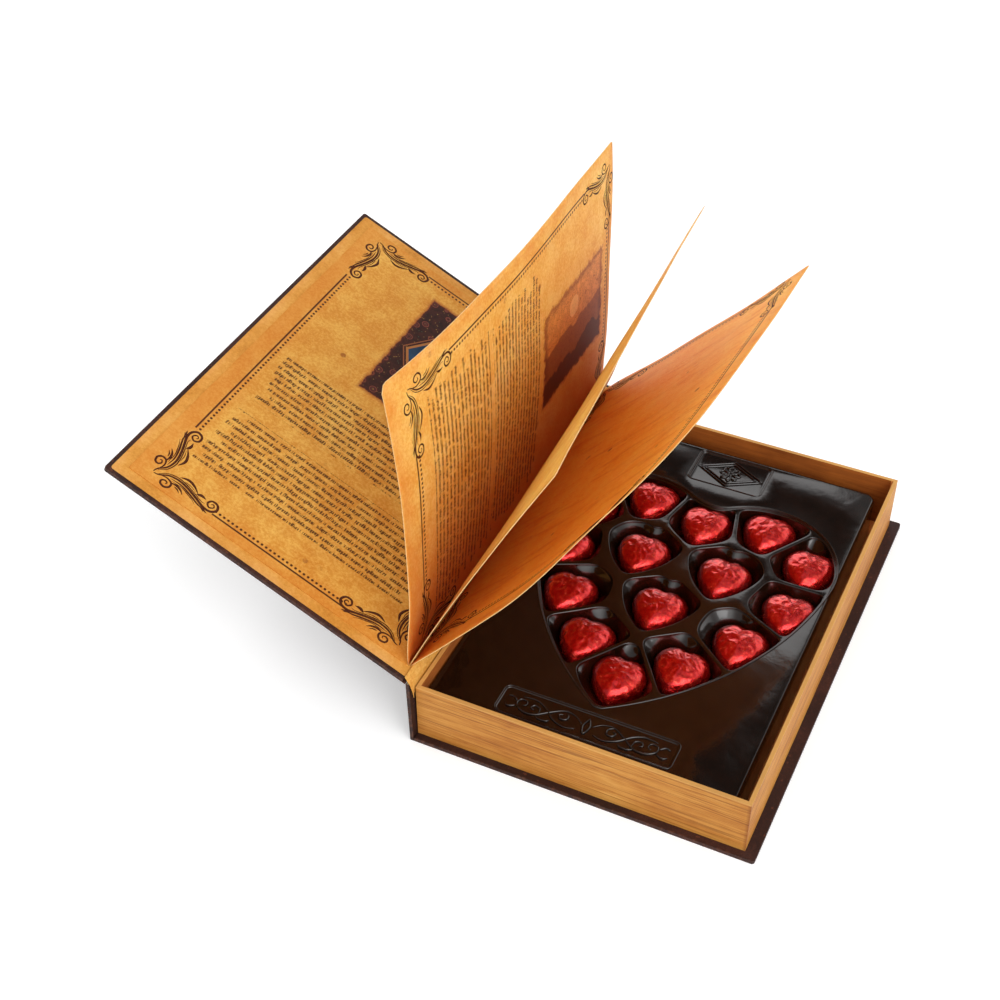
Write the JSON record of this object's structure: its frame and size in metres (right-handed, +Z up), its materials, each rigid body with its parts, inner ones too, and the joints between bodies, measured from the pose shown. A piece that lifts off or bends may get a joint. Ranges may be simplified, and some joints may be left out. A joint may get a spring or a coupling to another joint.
{
  "type": "book-shaped chocolate box",
  "caption": "Hinged book-style gift box, cover and bound leaves standing open, with a heart-shaped tray of foil-wrapped chocolate hearts.",
  "frame": {"origin": "centre of the back cover's outer face, on the table", "axes": "+X from the spine to the fore edge, +Y from foot to head, +Z up out of the box"},
  "size_m": [0.3396, 0.258, 0.2042],
  "materials": {
    "leather_paper": "matte, grained like brown leather, darker and lighter in patches",
    "greyboard": "matte grey-brown core board",
    "wood_print": "matte, printed with streaked golden brown",
    "inner_print": "matte, printed dark orange-brown",
    "parchment": "satin parchment print with scrolled corners",
    "page_print": "satin printed card, line and dot border",
    "margin_paper": "matte pinkish brown",
    "tray_sheet": "glossy dark brown formed sheet",
    "foil": "crinkled red foil",
    "chocolate": "milk chocolate"
  },
  "bodies": {
    "box": {"back_board": "greyboard", "back_wrap": "leather_paper", "bottom_fold": "leather_paper", "box_floor": "inner_print", "foot_wall": "wood_print", "head_wall": "wood_print", "spine_wall": "wood_print", "fore_wall": "wood_print"},
    "spine": {"spine_board": "greyboard", "spine_wrap": "leather_paper", "spine_lining": "wood_print"},
    "cover": {"top_fold": "leather_paper", "front_board": "greyboard", "front_wrap": "leather_paper", "endpaper": "margin_paper", "cover_panel": "parchment", "leaf_guard": "wood_print"},
    "page_1": {"leaf_1": "page_print"},
    "page_2": {"leaf_2": "page_print"},
    "page_3": {"leaf_3": "page_print"},
    "insert": {"tray": "tray_sheet"},
    "heart_01": {"foil_01": "foil", "chocolate_01": "chocolate"},
    "heart_02": {"foil_02": "foil", "chocolate_02": "chocolate"},
    "heart_03": {"foil_03": "foil", "chocolate_03": "chocolate"},
    "heart_04": {"foil_04": "foil", "chocolate_04": "chocolate"},
    "heart_05": {"foil_05": "foil", "chocolate_05": "chocolate"},
    "heart_06": {"foil_06": "foil", "chocolate_06": "chocolate"},
    "heart_07": {"foil_07": "foil", "chocolate_07": "chocolate"},
    "heart_08": {"foil_08": "foil", "chocolate_08": "chocolate"},
    "heart_09": {"foil_09": "foil", "chocolate_09": "chocolate"},
    "heart_10": {"foil_10": "foil", "chocolate_10": "chocolate"},
    "heart_11": {"foil_11": "foil", "chocolate_11": "chocolate"},
    "heart_12": {"foil_12": "foil", "chocolate_12": "chocolate"},
    "heart_13": {"foil_13": "foil", "chocolate_13": "chocolate"},
    "heart_14": {"foil_14": "foil", "chocolate_14": "chocolate"},
    "heart_15": {"foil_15": "foil", "chocolate_15": "chocolate"}
  },
  "joints": [
    {"name": "spine_hinge", "type": "hinge", "parent": "box", "child": "spine", "pos_m": [-0.0902, 0, 0.0003], "axis": [0, -1, 0], "range_deg": [-1.21, 0.3]},
    {"name": "cover_hinge", "type": "hinge", "parent": "spine", "child": "cover", "pos_m": [-0.09103, 0, 0.03969], "axis": [0, -1, 0], "range_deg": [-153, 37.5]},
    {"name": "leaf_1_turn", "type": "hinge", "parent": "cover", "child": "page_1", "pos_m": [-0.09352, 0, 0.04429], "axis": [0, -1, 0], "range_deg": [-15.42, 62.75]},
    {"name": "leaf_2_turn", "type": "hinge", "parent": "cover", "child": "page_2", "pos_m": [-0.09265, 0, 0.04448], "axis": [0, -1, 0], "range_deg": [-21.67, 88.25]},
    {"name": "leaf_3_turn", "type": "hinge", "parent": "cover", "child": "page_3", "pos_m": [-0.09178, 0, 0.04467], "axis": [0, -1, 0], "range_deg": [-25.59, 104.25]},
    {"name": "tray_lift", "type": "slide", "parent": "box", "child": "insert", "axis": [0.1908, 0, 0.9816], "range_m": [0, 0.029]},
    {"name": "heart_01_lift", "type": "slide", "parent": "insert", "child": "heart_01", "axis": [0, 0, 1], "range_m": [0, 0.025]},
    {"name": "heart_02_lift", "type": "slide", "parent": "insert", "child": "heart_02", "axis": [0, 0, 1], "range_m": [0, 0.025]},
    {"name": "heart_03_lift", "type": "slide", "parent": "insert", "child": "heart_03", "axis": [0, 0, 1], "range_m": [0, 0.025]},
    {"name": "heart_04_lift", "type": "slide", "parent": "insert", "child": "heart_04", "axis": [0, 0, 1], "range_m": [0, 0.025]},
    {"name": "heart_05_lift", "type": "slide", "parent": "insert", "child": "heart_05", "axis": [0, 0, 1], "range_m": [0, 0.025]},
    {"name": "heart_06_lift", "type": "slide", "parent": "insert", "child": "heart_06", "axis": [0, 0, 1], "range_m": [0, 0.025]},
    {"name": "heart_07_lift", "type": "slide", "parent": "insert", "child": "heart_07", "axis": [0, 0, 1], "range_m": [0, 0.025]},
    {"name": "heart_08_lift", "type": "slide", "parent": "insert", "child": "heart_08", "axis": [0, 0, 1], "range_m": [0, 0.025]},
    {"name": "heart_09_lift", "type": "slide", "parent": "insert", "child": "heart_09", "axis": [0, 0, 1], "range_m": [0, 0.025]},
    {"name": "heart_10_lift", "type": "slide", "parent": "insert", "child": "heart_10", "axis": [0, 0, 1], "range_m": [0, 0.025]},
    {"name": "heart_11_lift", "type": "slide", "parent": "insert", "child": "heart_11", "axis": [0, 0, 1], "range_m": [0, 0.025]},
    {"name": "heart_12_lift", "type": "slide", "parent": "insert", "child": "heart_12", "axis": [0, 0, 1], "range_m": [0, 0.025]},
    {"name": "heart_13_lift", "type": "slide", "parent": "insert", "child": "heart_13", "axis": [0, 0, 1], "range_m": [0, 0.025]},
    {"name": "heart_14_lift", "type": "slide", "parent": "insert", "child": "heart_14", "axis": [0, 0, 1], "range_m": [0, 0.025]},
    {"name": "heart_15_lift", "type": "slide", "parent": "insert", "child": "heart_15", "axis": [0, 0, 1], "range_m": [0, 0.025]}
  ],
  "couplings": [
    {"joint": "spine_hinge", "follows": "cover_hinge", "ratio": 0.007843},
    {"joint": "leaf_1_turn", "follows": "cover_hinge", "ratio": -0.4098},
    {"joint": "leaf_2_turn", "follows": "cover_hinge", "ratio": -0.57647},
    {"joint": "leaf_3_turn", "follows": "cover_hinge", "ratio": -0.68105}
  ]
}
